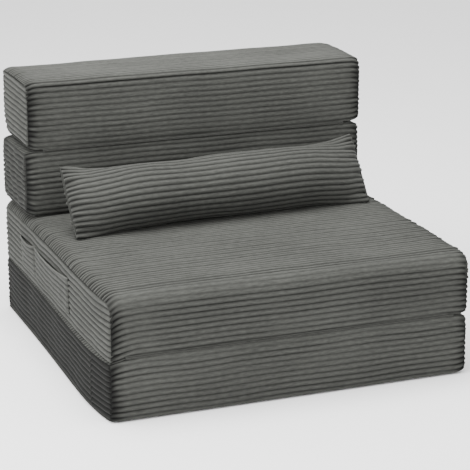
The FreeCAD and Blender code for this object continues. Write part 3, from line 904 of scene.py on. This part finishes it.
def end_grid(block, side, cloth):
    """An end panel: it comes out of the seam steeply, swells to its flat middle over the pillow margin, and
    carries ribs that run front to back, with slow waves between them."""
    hand = SIDES[side]
    shape, relief = block.shape, block.relief
    panel = EndPanel(block, side, cloth)
    y, z, to_edge = panel.y, panel.z, panel.to_edge
    spring_reach, seam_depth, swell_depth, zip_step = 1.8 * MM, 4 * MM, 2 * MM, 0.9 * MM
    swell = 1 - curl(np.clip(to_edge / cloth.pillow, 0, 1))
    sprung = np.sqrt(1 - np.clip(1 - to_edge / spring_reach, 0, 1) ** 2)
    seed = block.seed + (5 if hand > 0 else 7)
    phase = (z - panel.bottom) / panel.tall * panel.count
    rng = np.random.default_rng(seed)
    profile = rib_profile(phase + waves(y, z, seed + 1, 0.1, 0.4) * 0.08)
    uneven = per_rib(phase, rng.uniform(0.8, 1.1, panel.count))
    creased = shape.creased if hand < 0 else 0.5 * MM
    slow = waves(y, z, seed + 2, 0.12, 0.35) * relief.panel_wave + waves(y, z, seed + 3, 0.03, 0.09) * creased
    reach = block.half - cloth.panel_inset - seam_depth * (1 - sprung) - swell_depth * (1 - swell)
    grown = 1 + 0.5 * np.exp(-((panel.to_side / (9 * MM)) ** 2))
    strength = 1.3 * uneven * smooth(to_edge / (2.5 * MM)) * grown
    tone = np.full(y.shape, shape.ends[0 if hand < 0 else 1])
    if hand > 0:
        flat = panel.flat()
        strength = strength * (1 - 0.85 * flat)
        slow = slow * (1 - flat)
        reach = reach + flat * (zip_step - shape.spread[2])
    else:
        reach = reach + block.belly(y)
    out = reach + cloth.rib_height * strength * (profile - 0.35) + slow * swell
    if panel.fold:
        fold_half, fold_height, fold_end = 2 * MM, 1.6 * MM, 20 * MM
        line = np.exp(-(((y - panel.front - panel.fold) / fold_half) ** 2)) * smooth(to_edge / fold_end)
        out = out + fold_height * line
        # Painted highlight: the fold's raised ridge takes the rib colour and is drawn about twice as light.
        profile = np.maximum(profile, line * 0.9)
        tone = tone * (1 + 1.1 * line)
    grid = np.stack([block.x + hand * out, y, z], axis=-1)
    return grid, profile, tone, hand < 0, (y, z)


def pointed(rows, columns):
    """Numbers that weld a tube's first and last ring of points into one point each."""
    weld = np.arange(rows * columns)
    weld[:columns] = 0
    weld[-columns:] = len(weld) - 1
    return weld


class MakeBlocks(Operator):
    """Cover wraps, end panels and foam slabs of the four blocks"""

    bl_idname = "chair_bed.make_blocks"
    bl_label = "Foam blocks"

    def execute(self, context):
        cloth = settings().cloth
        for name in BLOCKS:
            block = Block(name)
            ribs = Ribs(block, cloth.rib_pitch, cloth.rib_points)
            grid, crest, tone, uv = cover_grid(block, ribs, cloth)
            mesh = grid_mesh(name + "_wrap", grid, True, True, uv=uv, rib=crest, tone=tone)
            wrap = add_piece(name + "_wrap", mesh, finish(corduroy), name, [name + "_cover_wrap"])
            for side in SIDES:
                self.end(block, side, cloth)
            self.slab(block, cloth)
        return {"FINISHED"}

    def end(self, block, side, cloth):
        """One end panel."""
        name = f"{block.name}_end_{side}"
        grid, crest, tone, flip, uv = end_grid(block, side, cloth)
        mesh = grid_mesh(name, grid, flip=flip, uv=uv, rib=crest, tone=tone)
        stands_for = [f"{block.name}_end_panel_{side}"]
        panel = add_piece(name, mesh, finish(corduroy), block.name, stands_for)
        thicken(panel, cloth.panel_wall)

    def slab(self, block, cloth):
        """The foam inside the cover: the block's section without ribs, from end to end, closed at both ends.

        It stops short of where the right end is flat under its zip, and lies a little deeper near both ends."""
        ribs = Ribs(block, 30 * MM, 4)
        inset = cloth.wall + 5 * MM
        last = 2 * block.seam
        near = cloth.tuck + 6 * MM
        far = last - near - block.shape.spread[2]
        left = [near, 20 * MM, 40 * MM, 110 * MM, last / 2, last - 110 * MM, last - 50 * MM, far - 8 * MM, far]
        left = np.array(left)[:, None]
        deeper = 5 * MM * np.exp(-((np.minimum(left, far + near - left) / (24 * MM)) ** 2))
        lines = block.lines(left, last - left, inset + deeper)
        shelf = shelf_share(block)
        y, z = section(lines, block.radii(inset), block.shape.crowns, shelf, ribs.part, ribs.share)
        grid = np.stack([np.broadcast_to(block.x - block.seam + left, y.shape), y, z], axis=-1)
        centre = grid.mean(axis=1, keepdims=True)
        half_way = centre + (grid - centre) * 0.5
        point = centre + grid * 0
        full = np.concatenate([point[:1], half_way[:1], grid, half_way[-1:], point[-1:]])
        mesh = grid_mesh(block.name + "_foam", full, close_v=True, weld=pointed(*full.shape[:2]))
        add_piece(block.name + "_foam", mesh, finish(foam), block.name, [block.name + "_foam_core"])


def pocket_mouth(sizes, y):
    """Height of the mouth above the seat's underside: a straight line that sags in each compartment."""
    share = (y - sizes.front) / (sizes.rear - sizes.front)
    straight = sizes.mouth_front + share * (sizes.mouth_rear - sizes.mouth_front)
    first = (y - sizes.front) / (sizes.divider - sizes.front)
    second = (y - sizes.divider) / (sizes.rear - sizes.divider)
    span = np.clip(np.where(y <= sizes.divider, first, second), 0, 1)
    return straight - sizes.sag * 4 * span * (1 - span), span


class MakePocket(Operator):
    """Storage pocket with two sagging compartments on the seat's left end, its rolled hem and its seams"""

    bl_idname = "chair_bed.make_pocket"
    bl_label = "Storage pocket"

    def execute(self, context):
        scene = settings()
        cloth, sizes = scene.cloth, scene.pocket
        seat = Block("seat")
        start = seat.box[0]
        foot = seat.box[3] + sizes.foot
        y = start + np.linspace(sizes.front, sizes.rear, 97)[:, None]
        mouth, span = pocket_mouth(sizes, y - start)
        mouth = seat.box[3] + mouth
        rise = np.linspace(0, 1, 71)[None, :]
        z = foot + (mouth - foot) * rise
        gape = np.sin(math.pi * span) ** 0.7
        out = seat.half - cloth.panel_inset + sizes.stand + sizes.bulge * gape * smooth(rise * 1.1) ** 1.3
        free = np.minimum(np.minimum(span, 1 - span) * 0.12, (z - foot)) / (5 * MM)
        out = out - sizes.pinned * (1 - smooth(free))
        phase = (z - seat.box[3]) / cloth.rib_pitch + waves(y, z, 91, 0.1, 0.3) * 0.08
        profile = rib_profile(phase)
        out = out + cloth.rib_height * 0.75 * (profile - 0.4) * smooth(free * 0.8 + 0.2)
        out = out + waves(y, z, 92, 0.05, 0.16) * 0.6 * MM
        grid = np.stack([seat.x - out - seat.belly(y), y + z * 0, z], axis=-1)
        tone = np.full(z.shape, seat.shape.ends[0] * 0.97)
        mesh = grid_mesh("storage_pocket_cloth", grid, flip=True, uv=(y + z * 0, z), rib=profile, tone=tone)
        stands_for = ["storage_pocket"]
        pocket = add_piece("storage_pocket_cloth", mesh, finish(corduroy), "seat", stands_for)
        thicken(pocket, sizes.wall)
        hem = self.hem(grid)
        return {"FINISHED"}

    def hem(self, grid):
        """The rolled edge along the mouth: a flat loop carried along the pocket's upper row."""
        sizes = settings().pocket
        line = grid[:, -1]
        drop = 2.2 * MM
        turn = np.linspace(0, math.tau, 13)[None, :-1]
        x = line[:, :1] + sizes.hem_thick / 2 * np.cos(turn)
        z = line[:, 2:] - drop + sizes.hem_wide / 2 * np.sin(turn)
        hem = np.stack([x, np.broadcast_to(line[:, 1:2], x.shape), z], axis=-1)
        # Painted light: the rolled hem's upper half takes more of the rib colour than its underside, so its top
        # reads lit and its underside shaded; the whole hem is drawn 1.3 times as light.
        crest = np.broadcast_to(0.55 + 0.35 * np.sin(turn), x.shape)
        way = np.broadcast_to(line[:, 1:2], (len(line), 13))
        around = np.broadcast_to(np.linspace(0, 0.02, 13)[None, :], (len(line), 13))
        tone = np.full(x.shape, 1.3)
        uv = (way, around)
        mesh = grid_mesh("pocket_rolled_hem", hem, close_v=True, flip=True, uv=uv, rib=crest, tone=tone)
        return add_piece("pocket_rolled_hem", mesh, finish(corduroy), "seat", ["pocket_hem"])


class MakeWebs(Operator):
    """Strips of cloth in the three creases, which bend as the blocks unfold"""

    bl_idname = "chair_bed.make_webs"
    bl_label = "Fold webs"

    def execute(self, context):
        low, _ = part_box("front_fold_web")
        self.strip("front_fold", "base", "seat", 1, low.y + 3 * MM)
        _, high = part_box("rear_fold_web")
        self.strip("rear_fold", "seat", "lower_back", -1, high.y - 8 * MM)
        low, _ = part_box("back_fold_web")
        self.strip("back_fold", "lower_back", "upper_back", 1, low.y + 3 * MM)
        return {"FINISHED"}

    def strip(self, name, lower, upper, inward, surface):
        """One strip, which bends between two blocks: a trough with ribs along it, deep inside the crease."""
        low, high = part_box(name + "_web")
        middle = (low.z + high.z) / 2
        half, bend = 4 * MM, 2.5 * MM
        trough_depth, rim, rib_height, unevenness = 2.6 * MM, 0.6 * MM, 0.7 * MM, 0.25 * MM
        rows = np.linspace(-1, 1, 31)[None, :]
        x = np.linspace(low.x, high.x, 48)[:, None]
        z = middle + half * rows + x * 0
        trough = 1 - np.abs(rows) ** 1.5
        y = surface - inward * (trough * trough_depth - rim) + waves(x, z, 51, 0.05, 0.2) * unevenness
        profile = rib_profile(rows * 1.5 + 0.5 + x * 0)
        y = y - inward * profile * rib_height
        grid = np.stack([x + z * 0, y, z], axis=-1)
        # Painted shade: the strips deep in the creases are drawn darker, at 0.9 of the cloth's lightness and
        # with ribs at 0.7 of the rib colour.
        tone = np.full(z.shape, 0.9)
        uv = (x + z * 0, z)
        mesh = grid_mesh(name + "_strip", grid, flip=inward < 0, uv=uv, rib=profile * 0.7, tone=tone)
        strip = add_piece(name + "_strip", mesh, finish(corduroy), None, [name + "_web"])
        thicken(strip, 0.8 * MM)
        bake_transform(strip)


def lens(sizes, station):
    """Radius, half width and half thickness of the bolster's section, and half its arc's angle, from its
    middle (0) to its end seam (1).

    Each face is an arc. Its angle falls as a circle does, and its length is gathered into the shorter seam."""
    share = np.maximum(np.sqrt(np.clip(1 - station ** 2, 0, 1)), 0.06)
    angle = sizes.fill * share
    arc = sizes.around + (sizes.seam - sizes.around) * station ** 2
    radius = arc / 2 / angle
    return radius, radius * np.sin(angle), radius * (1 - np.cos(angle)), angle


def faces(sizes, x, columns, inset=0.0):
    """The bolster's two faces at places along it: two arcs that meet at the seam plane, drawn in by an inset.

    Gives the points' places across the seam plane and off it, their station, their share of the arc from -1
    to 1 and their way round from 0 to 1."""
    straight, half = sizes.straight / 2, sizes.long / 2
    station = np.clip((np.abs(x) - straight) / (half - straight), 0, 1)
    radius, half_wide, half_thick, angle = lens(sizes, station)
    way = (np.arange(columns) / columns)[None, :]
    upper = way < 0.5
    share = np.where(upper, way * 4 - 1, way * 4 - 3)
    side = np.where(upper, 1, -1)
    across = radius * np.sin(share * angle) * (1 - inset / half_wide) * -side
    drawn_in = np.clip(1 - inset / half_thick, 0.1, 1)
    thick = (radius * np.cos(share * angle) - (radius - half_thick)) * drawn_in * side
    return across, thick, station, share, way


def resting_height(sizes, station):
    """Height of the bolster's middle line: the lens just rests on the seat, and rises a little to its ends."""
    radius, half_wide, half_thick, _ = lens(sizes, station)
    thick_z, wide_z = math.cos(sizes.lean), math.sin(sizes.lean)
    on_face = radius - (radius - half_thick) * thick_z
    drop = np.where(thick_z >= (radius - half_thick) / radius, on_face, half_wide * wide_z)
    _, seat_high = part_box("seat_cover_wrap")
    return seat_high.z + sizes.clearance + drop + station * sizes.rise


def on_seat(sizes, x, across, thick, station):
    """Points along the bolster, across its seam plane and off that plane, leaned and turned on the seat."""
    seat_low, seat_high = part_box("seat_cover_wrap")
    back_low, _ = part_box("lower_back_cover_wrap")
    y = across * math.cos(sizes.lean) - thick * math.sin(sizes.lean)
    z = across * math.sin(sizes.lean) + thick * math.cos(sizes.lean) + resting_height(sizes, station)
    turn = sizes.turn
    x_middle = (seat_low.x + seat_high.x) / 2 + sizes.shift
    y_middle = back_low.y - sizes.ahead
    placed_x = x_middle + x * math.cos(turn) - y * math.sin(turn)
    placed_y = y_middle + x * math.sin(turn) + y * math.cos(turn)
    return np.stack([placed_x + z * 0, placed_y + z * 0, z], axis=-1)


def sewn_ends(grid):
    """Draws the first and last ring of points together onto their seam, and gives numbers that weld them."""
    rows, columns = grid.shape[:2]
    number = np.arange(rows * columns).reshape(rows, columns)
    mirror = (columns // 2 - np.arange(columns)) % columns
    pair = np.minimum(np.arange(columns), mirror)
    weld = number.copy()
    for row in (0, -1):
        weld[row] = number[row][pair]
        grid[row] = (grid[row] + grid[row][mirror]) / 2
    return weld.ravel()


class MakeBolster(Operator):
    """The loose bolster: its ribbed cover with puckered end seams, and its filling"""

    bl_idname = "chair_bed.make_bolster"
    bl_label = "Bolster"

    def execute(self, context):
        scene = settings()
        grid, crest, tone, uv = self.cover(scene.cloth, scene.bolster)
        weld = sewn_ends(grid)
        mesh = grid_mesh("bolster_cover", grid, close_v=True, uv=uv, weld=weld, rib=crest, tone=tone)
        stands_for = ["bolster_cover_upper", "bolster_cover_lower"]
        cover = add_piece("bolster_cover", mesh, finish(corduroy), "bolster", stands_for)
        core = self.core(scene.bolster)
        mesh = grid_mesh("bolster_core", core, close_v=True, weld=pointed(*core.shape[:2]))
        add_piece("bolster_core", mesh, finish(fibre), "bolster", ["bolster_filling"])
        return {"FINISHED"}

    def core(self, sizes):
        """The filling: the same lens, smaller, drawn to a point at each end."""
        half = sizes.long / 2 - sizes.core_short
        x = np.concatenate([[-half], np.linspace(-half, half, 24), [half]])[:, None]
        across, thick, station, _, _ = faces(sizes, x, 48, sizes.core_inset)
        across[[0, -1]] = 0
        thick[[0, -1]] = 0
        return on_seat(sizes, x, across, thick, station)

    def cover(self, cloth, sizes):
        """The lens's two faces, at stations from end seam to end seam, with ribs along the length.

        A point moves along the normal by the rib's profile, slow waves and, near an end seam, gathered folds.
        The seam's corners and its middle stand out as ears, by Gaussians of the distance from the seam."""
        steps = np.array([0, 0.6, 1.5, 3, 5, 7.5, 10.5, 14, 18, 23, 29, 36, 44, 54, 66, 80, 96, 115, 136]) * MM
        half = sizes.long / 2
        inner = np.linspace(-half + steps[-1], half - steps[-1], 18)[1:-1]
        x = np.concatenate([-half + steps, inner, (half - steps)[::-1]])[:, None]
        count = 2 * round(sizes.around / sizes.rib_pitch)
        columns = count * cloth.rib_points
        across, thick, station, share, way = faces(sizes, x, columns)
        near = half - np.abs(x)

        def beside(reach):
            return np.exp(-((near / reach) ** 2))

        lean_reach, gather_reach, corner_reach, middle_reach, shade_reach = np.array([18, 34, 22, 20, 7]) * MM
        wave, ripple = 1.5 * MM, 0.5 * MM
        rng = np.random.default_rng(71)
        phase = way * count
        pinch = per_rib(phase, rng.uniform(0.3, 1.4, count))
        lean = per_rib(phase, rng.uniform(-1, 1, count))
        near_seam = beside(lean_reach)
        along = way * 0.4
        profile = rib_profile(phase + waves(x, along, 72, 0.15, 0.4) * 0.07 + lean * near_seam * 0.15)
        started = smooth(near / (1.6 * MM))
        strength = 0.85 * (1 + near_seam * pinch * 1.1) * started
        slow = waves(x, along, 73, 0.12, 0.4) * wave + waves(x, along, 74, 0.03, 0.08) * ripple
        gathers = waves(x * 0.2, along, 75, 0.02, 0.045) * sizes.gathers * smooth(near / (3 * MM))
        corner = sizes.ear * np.abs(share) ** 5 * beside(corner_reach)
        middle_out = sizes.belly * (1 - share ** 2) * beside(middle_reach)
        plain = on_seat(sizes, x + (corner + middle_out) * np.sign(x), across, thick, station)
        middle = on_seat(sizes, x, across * 0, thick * 0, station)
        out = normals(plain, False, True)
        outward = np.sum(out * (plain - middle), axis=-1)
        out = out * np.where(np.median(outward) < 0, -1, 1)
        height = cloth.rib_height * (strength * profile - 0.8) * started
        height = height + slow * smooth(near / (30 * MM)) + beside(gather_reach) * gathers
        grid = plain + out * height[:, :, None]
        # Near the end seams the valleys widen on the crest map and the cloth is drawn darker rib by rib:
        # painted shade in the gathers.
        crest = profile ** (1 + 1.2 * near_seam)
        tone = 1 - 0.3 * beside(shade_reach) * per_rib(phase, rng.uniform(0.2, 1.0, count))
        uv_x = np.broadcast_to(x, (len(x), columns + 1))
        uv_y = np.broadcast_to(np.linspace(0, 2 * sizes.around, columns + 1)[None, :], (len(x), columns + 1))
        return grid, crest, tone, (uv_x, uv_y)


def coil_grid(name):
    """A zip's coil: an oval tube along the tape, whose skin is notched by teeth.

    Around the tube a point follows an ellipse, swollen by the size of a sine along the run; the two sides of
    the coil are half a tooth out of step."""
    low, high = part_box(name + "_zip_chain")
    pitch = 2.4 * MM
    teeth = round((high.y - low.y) / pitch)
    y = np.linspace(low.y, high.y, teeth * 4 + 1)[:, None]
    turn = np.linspace(0, math.tau, 13)[None, :-1]
    side = np.where(np.sin(turn) >= 0, 0.0, 0.5)
    tooth = 0.55 + 0.45 * np.abs(np.sin(math.pi * ((y - low.y) / (high.y - low.y) * teeth + side)))
    tooth[[0, -1]] = 0.2
    thick, wide = (high.x - low.x) / 2, (high.z - low.z) / 2
    x = (low.x + high.x) / 2 + thick * 0.98 * tooth * np.cos(turn)
    z = (low.z + high.z) / 2 + wide * 0.98 * (0.7 + 0.3 * tooth) * np.sin(turn)
    grid = np.stack([x, y + x * 0, z], axis=-1)
    ends = [grid[i].mean(axis=0) + grid[i] * 0 for i in (0, -1)]
    return np.concatenate([[ends[0]], grid, [ends[1]]])


class MakeTrims(Operator):
    """Toothed coils for the zips, and finishes for the tapes, sliders, pulls and the sole"""

    bl_idname = "chair_bed.make_trims"
    bl_label = "Zips and sole"

    def execute(self, context):
        makers = {
            "_zip_tape": tape, "_zip_chain": coil, "_zip_slider": metal, "_zip_pull": metal,
            "_sole": sole_cloth,
        }
        for name in BLOCKS:
            grid = coil_grid(name)
            mesh = grid_mesh(name + "_zip_coil", grid, close_v=True, weld=pointed(*grid.shape[:2]))
            add_piece(name + "_zip_coil", mesh, finish(coil), name, [name + "_zip_chain"])
        for name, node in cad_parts.items():
            for ending, make in makers.items():
                if name.endswith(ending):
                    for slot in node.material_slots:
                        slot.material = finish(make)
        return {"FINISHED"}


class MakeStage(Operator):
    """Pale floor, soft studio light and the camera"""

    bl_idname = "chair_bed.make_stage"
    bl_label = "Stage"

    def execute(self, context):
        sizes = settings().stage
        self.floor()
        self.camera(sizes)
        world = bpy.data.worlds.new("studio")
        world.use_nodes = True
        world.node_tree.nodes["Background"].inputs["Color"].default_value = (1.0, 1.0, 1.0, 1.0)
        world.node_tree.nodes["Background"].inputs["Strength"].default_value = sizes.sky
        context.scene.world = world
        self.light("top_light", (-0.7, -0.2, 3.0), (0, 0, 0.2), 2.4, sizes.top_light)
        self.light("side_light", (-3.2, -0.6, 1.6), (0, 0, 0.25), 2.0, sizes.side_light)
        self.light("front_light", (-1.0, -4.4, 1.6), (0, 0, 0.25), 2.4, sizes.front_light)
        return {"FINISHED"}

    def floor(self):
        """A large pale plane just under the sole."""
        half, below = 9.0, 0.2 * MM
        grid = np.zeros((2, 2, 3))
        grid[..., 0] = [[-half, -half], [half, half]]
        grid[..., 1] = [[-half, half], [-half, half]]
        grid[..., 2] = -below
        mesh = grid_mesh("floor", grid)
        shader = Shader("floor")
        grain = shader.noise(shader.place((3, 3, 3)), 1.0, 2.0, 0.5)
        pale = (0.93, 0.93, 0.93)
        mesh.materials.append(shader.surface(shader.tint(pale, grain * 0.02 + 0.99), 0.9))
        floor = bpy.data.objects.new("floor", mesh)
        bpy.context.scene.collection.objects.link(floor)

    def light(self, name, place, aim, wide, power):
        """A large square light that faces a point."""
        lamp = bpy.data.lights.new(name, "AREA")
        lamp.shape = "SQUARE"
        lamp.size = wide
        lamp.energy = power
        holder = bpy.data.objects.new(name, lamp)
        holder.location = place
        holder.rotation_mode = "QUATERNION"
        holder.rotation_quaternion = (Vector(aim) - Vector(place)).to_track_quat("-Z", "Y")
        bpy.context.scene.collection.objects.link(holder)

    def camera(self, sizes):
        """The camera, from its yaw, pitch and roll."""
        yaw, pitch = sizes.yaw, sizes.pitch
        forward = Vector((math.sin(yaw) * math.cos(pitch), math.cos(yaw) * math.cos(pitch), -math.sin(pitch)))
        right = Vector((math.cos(yaw), -math.sin(yaw), 0.0))
        up = right.cross(forward)
        turn = Matrix((right, up, -forward)).transposed() @ Matrix.Rotation(sizes.roll, 3, "Z")
        camera = bpy.data.cameras.new("camera")
        camera.sensor_width = 36.0
        camera.lens = sizes.lens
        camera.clip_end = 50.0
        eye = bpy.data.objects.new("camera", camera)
        eye.matrix_world = Matrix.Translation(Vector(sizes.eye)) @ turn.to_4x4()
        bpy.context.scene.collection.objects.link(eye)
        bpy.context.scene.camera = eye


OPERATORS = (MakeBlocks, MakePocket, MakeWebs, MakeBolster, MakeTrims, MakeStage)


class ChairBedSettings(PropertyGroup):
    """Everything that can be set on the chair bed."""

    cloth: PointerProperty(type=CorduroySizes)
    relief: PointerProperty(type=ReliefSizes)
    colours: PointerProperty(type=ClothColours)
    pocket: PointerProperty(type=PocketSizes)
    bolster: PointerProperty(type=BolsterSizes)
    stage: PointerProperty(type=StageSizes)
    base: PointerProperty(type=SHAPES["base"])
    seat: PointerProperty(type=SHAPES["seat"])
    lower_back: PointerProperty(type=SHAPES["lower_back"])
    upper_back: PointerProperty(type=SHAPES["upper_back"])


class ChairBedPanel(Panel):
    """Sizes, colours and steps of the chair bed"""

    bl_idname = "VIEW3D_PT_chair_bed"
    bl_label = "Chair bed"
    bl_space_type = "VIEW_3D"
    bl_region_type = "UI"
    bl_category = "Chair bed"

    def draw(self, context):
        chair = context.scene.chair_bed
        for group in ChairBedSettings.__annotations__:
            box = self.layout.box()
            box.label(text=group.replace("_", " ").capitalize())
            held = getattr(chair, group)
            for field in type(held).__annotations__:
                box.prop(held, field)
        for operator in OPERATORS:
            self.layout.operator(operator.bl_idname)


CLASSES = (
    CorduroySizes, ReliefSizes, ClothColours, PocketSizes, BolsterSizes, StageSizes, *SHAPES.values(),
    ChairBedSettings, *OPERATORS, ChairBedPanel,
)


def register():
    for cls in CLASSES:
        bpy.utils.register_class(cls)
    bpy.types.Scene.chair_bed = PointerProperty(type=ChairBedSettings)


def unregister():
    del bpy.types.Scene.chair_bed
    for cls in reversed(CLASSES):
        bpy.utils.unregister_class(cls)


def main():
    register()
    for operator in OPERATORS:
        group, call = operator.bl_idname.split(".")
        getattr(getattr(bpy.ops, group), call)()


if __name__ == "__main__":
    main()
